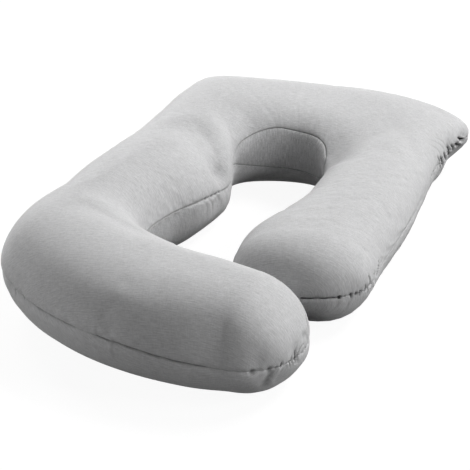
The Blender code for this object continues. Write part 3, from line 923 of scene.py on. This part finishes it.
# %% Dye and knit the jersey, and paint shade into its seams
DARK_YARN, LIGHT_YARN = (0.40, 0.40, 0.405, 1), (0.80, 0.80, 0.805, 1)
# Painted shade deep in seams and tucks: the near-black it darkens the colour toward, and how far.
PAINTED_SHADE_COLOUR, PAINTED_SHADE_SHARE = (0.03, 0.03, 0.03, 1), 0.90
# Flecks per metre along the courses and across them.
LONG_FLECK, SHORT_FLECK = (52.0, 400.0, 1.0), (150.0, 820.0, 1.0)
CROSS_FLECK, CLOUD = (460.0, 80.0, 1.0), (14.0, 20.0, 1.0)
LOOP_HEIGHT = 0.0012


def heather_jersey(name, streak, bump):
    """Heather-grey single jersey whose courses run along the pattern's U, in metres."""
    finish = Finish(name, Roughness=0.92, Sheen_Weight=0.15,
                    Sheen_Roughness=0.55, Specular_IOR_Level=0.12)
    where = finish.node("UVMap", {"uv_map": "pattern"}, {})
    long_fleck = finish.noise(where, LONG_FLECK, 2.0, 0.6)
    short_fleck = finish.noise(where, SHORT_FLECK, 1.0)
    cross = finish.noise(where, CROSS_FLECK, 1.0)
    cloud = finish.noise(where, CLOUD, 2.0)
    shade = 0.5 + streak * (0.9 * long_fleck + 0.5 * short_fleck + 0.35 * cross + 0.1 * cloud)
    colour = finish.mix(shade, DARK_YARN, LIGHT_YARN)
    # Painted shade: the colour goes toward near black where a seam or tuck lies deep.
    hollow = finish.node("Attribute", {"attribute_name": "hollow"}, {}, output=2)
    finish.feed("Base Color", finish.mix(PAINTED_SHADE_SHARE * hollow, colour, PAINTED_SHADE_COLOUR))
    height = 0.6 * long_fleck + 0.5 * short_fleck + 0.6 * cross
    knit = finish.node("Bump", {}, {"Strength": bump, "Distance": LOOP_HEIGHT, "Height": height})
    finish.feed("Normal", knit)
    return finish.material


jersey = heather_jersey("heather jersey", streak=1.0, bump=0.35)
pillow_cover.data.materials.append(jersey)
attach(pillow_cover, "root")
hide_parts("pillow")
print(jersey.name, "has", len(jersey.node_tree.nodes), "nodes")

# %% [markdown]
# ## The head gusset
#
# A flat seam round the head opening would pucker badly, because its wall is high there. The
# maker lets in a lens-shaped strip instead. It is a strip of sheet sewn in under tension, so it
# is made as a thin sheet on the wall, and its knit is turned: the courses stand upright on it.

# %% Lay the strip on the wall
STRIP_ROWS, STRIP_THICKNESS, STRIP_BULGE = 27, 0.0012, 0.0012
STRIP_DRAWN, GUSSET_PATTERN_APART = 0.8, 4.0

strip_rings = np.flatnonzero(lens[:, 0] > 0)
strip_share = (0.5 - 0.5 * np.cos(np.linspace(0, math.pi, STRIP_ROWS)))[None]
strip = recess_points(strip_share)[strip_rings] + PLAN_SHIFT
strip_height = (upper - lower)[strip_rings] * np.minimum(strip_share, 1 - strip_share)
strip_station = inner_station[strip_rings + END_TURNS]
strip[:, :, 2] -= fold_depths(strip[:, :, :2], strip[:, :, 2])
strip_out = np.cross(np.gradient(strip, axis=1), np.gradient(strip, axis=0))
strip_out /= np.linalg.norm(strip_out, axis=2, keepdims=True)
into_tube = (outer - inner)[strip_rings][:, None]
strip_out *= -np.sign((strip_out[:, :, :2] * into_tube).sum(axis=2, keepdims=True))
groove, roll, pucker = run_values("inner", strip_station)
strip_in = groove_valley(strip_height, STRIP_DRAWN * groove)
stand_out = STRIP_BULGE * np.sin(math.pi * strip_share)
stand_out = stand_out - puckers(strip_station, strip_height, pucker, *STRIP_WAVE)
stand_out = stand_out - strip_in - roll_valley(strip_height, STRIP_DRAWN * roll)
strip += strip_out * stand_out[:, :, None]

# %% [markdown]
# The strip's pattern is rolled out like the panels' own. Its thickness goes inward, so that its
# face stays where it was laid.

strip_arc = np.cumsum(np.linalg.norm(np.diff(strip, axis=1), axis=2), axis=1)
strip_arc = np.concatenate([np.zeros((len(strip), 1)), strip_arc], axis=1)
strip_along = np.broadcast_to(strip_station[:, None], strip_arc.shape)
strip_uv = np.stack([strip_arc, strip_along], axis=-1) + [0, GUSSET_PATTERN_APART]
strip_faces = grid_faces(len(strip_rings), STRIP_ROWS, wrapped=False)
middle_face = strip.reshape(-1, 3)[strip_faces[len(strip_faces) // 2]]
face_out = np.cross(middle_face[1] - middle_face[0], middle_face[2] - middle_face[1])
if face_out @ strip_out[len(strip_rings) // 2, STRIP_ROWS // 2] < 0:
    strip_faces = strip_faces[:, ::-1]
# The strip's seam edges get the same painted shade in their colour.
gusset = make_mesh("head_gusset_strip", strip.reshape(-1, 3), strip_faces.tolist(),
                   strip_uv.reshape(-1, 2)[strip_faces.reshape(-1)],
                   np.clip(strip_in / FULL_PAINTED_SHADE_DEPTH, 0, 1))
wall = gusset.modifiers.new("cloth thickness", "SOLIDIFY")
wall.thickness = STRIP_THICKNESS
wall.offset = -1.0
bpy.context.view_layer.objects.active = gusset
bpy.ops.object.modifier_apply(modifier=wall.name)
gusset.data.materials.append(heather_jersey("heather jersey, turned", streak=1.5, bump=0.60))
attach(gusset, "root")
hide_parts("head_gusset")

# %% [markdown]
# ## The camera
#
# The pillow is seen from beyond its foot and a little to the right, looking down at about
# 25 degrees, through a long lens that keeps its sides nearly parallel.

# %% Place the camera
TARGET = (0.0170, -0.1494, 0.101)
VIEW_DOWN, VIEW_ROUND, VIEW_DISTANCE = 25.2, 15.72, 3.2675
LENS, SENSOR_WIDTH = 117.5, 36.0

down, round_about = math.radians(VIEW_DOWN), math.radians(VIEW_ROUND)
back = VIEW_DISTANCE * math.cos(down)
bpy.ops.object.camera_add(
    location=(TARGET[0] + back * math.sin(round_about),
              TARGET[1] - back * math.cos(round_about),
              TARGET[2] + VIEW_DISTANCE * math.sin(down)),
    rotation=(math.pi / 2 - down, 0, round_about),
)
camera = bpy.context.object
camera.name = "camera"
camera.data.lens = LENS
camera.data.sensor_width = SENSOR_WIDTH
bpy.context.scene.camera = camera
print("camera at", np.round(camera.location, 3))

# %% [markdown]
# ## A pale sweep
#
# The pillow lies on a sheet of white paper that rises far away on every side. It is lit mostly
# by itself, so that it stays near white, and throws no light back on the pillow.

# %% Roll out the sweep
SWEEP_WIDTH, SWEEP_SQUARES, FLAT_RADIUS, SWEEP_RISE = 30.0, 60, 8.0, 0.15

bpy.ops.object.select_all(action="DESELECT")
bpy.ops.mesh.primitive_grid_add(
    x_subdivisions=SWEEP_SQUARES, y_subdivisions=SWEEP_SQUARES, size=SWEEP_WIDTH)
sweep = bpy.context.object
sweep.name = "sweep"
for point in sweep.data.vertices:
    beyond = max(point.co.xy.length - FLAT_RADIUS, 0)
    point.co.z = SWEEP_RISE * beyond ** 2
bpy.ops.object.shade_smooth()
paper = Finish("white paper", Base_Color=(0.12, 0.12, 0.12, 1), Roughness=1.0,
               Emission_Color=(1, 1, 1, 1), Emission_Strength=0.93, Specular_IOR_Level=0.0)
sweep.data.materials.append(paper.material)
sweep.visible_diffuse = False
print("sweep:", SWEEP_WIDTH, "m wide")

# %% [markdown]
# ## Soft studio light
#
# The key box hangs high behind the pillow on the right, so that its front stays in gentle
# shade, which shows how round the tube is. Weaker boxes behind on the left and on the right even
# it out, and boxes low down on all sides lift the walls. Compass 0 is behind the head and 90 is
# the pillow's right.

# %% Hang the lights
LIGHT_DISTANCE, LIGHT_AIM, LIGHT_SIZE = 7.0, 0.1, 2.4
WORLD_STRENGTH = 0.01
LIGHTS = table(
    "name compass height power",
    ("key, high behind right",  45, 47, 330),
    ("high behind left",       315, 38, 153),
    ("low behind left",        315,  6, 240),
    ("right",                   90, 30, 170),
    ("low right",               90,  5,  76),
    ("low left",               270,  7, 179),
    ("low front",              180,  2, 134),
)

for box in LIGHTS:
    turn, rise = math.radians(box.compass), math.radians(box.height)
    away, up = LIGHT_DISTANCE * math.cos(rise), LIGHT_DISTANCE * math.sin(rise)
    bpy.ops.object.light_add(
        type="AREA",
        location=(away * math.sin(turn), away * math.cos(turn), LIGHT_AIM + up),
        rotation=(math.pi / 2 - rise, 0, math.pi - turn),
    )
    light = bpy.context.object
    light.name = box.name
    light.data.shape = "SQUARE"
    light.data.size = LIGHT_SIZE
    light.data.energy = box.power

world = bpy.data.worlds.new("studio")
world.use_nodes = True
background = world.node_tree.nodes["Background"]
background.inputs["Color"].default_value = (1, 1, 1, 1)
background.inputs["Strength"].default_value = WORLD_STRENGTH
bpy.context.scene.world = world
bpy.context.scene.view_settings.view_transform = "Standard"
print("lights:", len(LIGHTS))
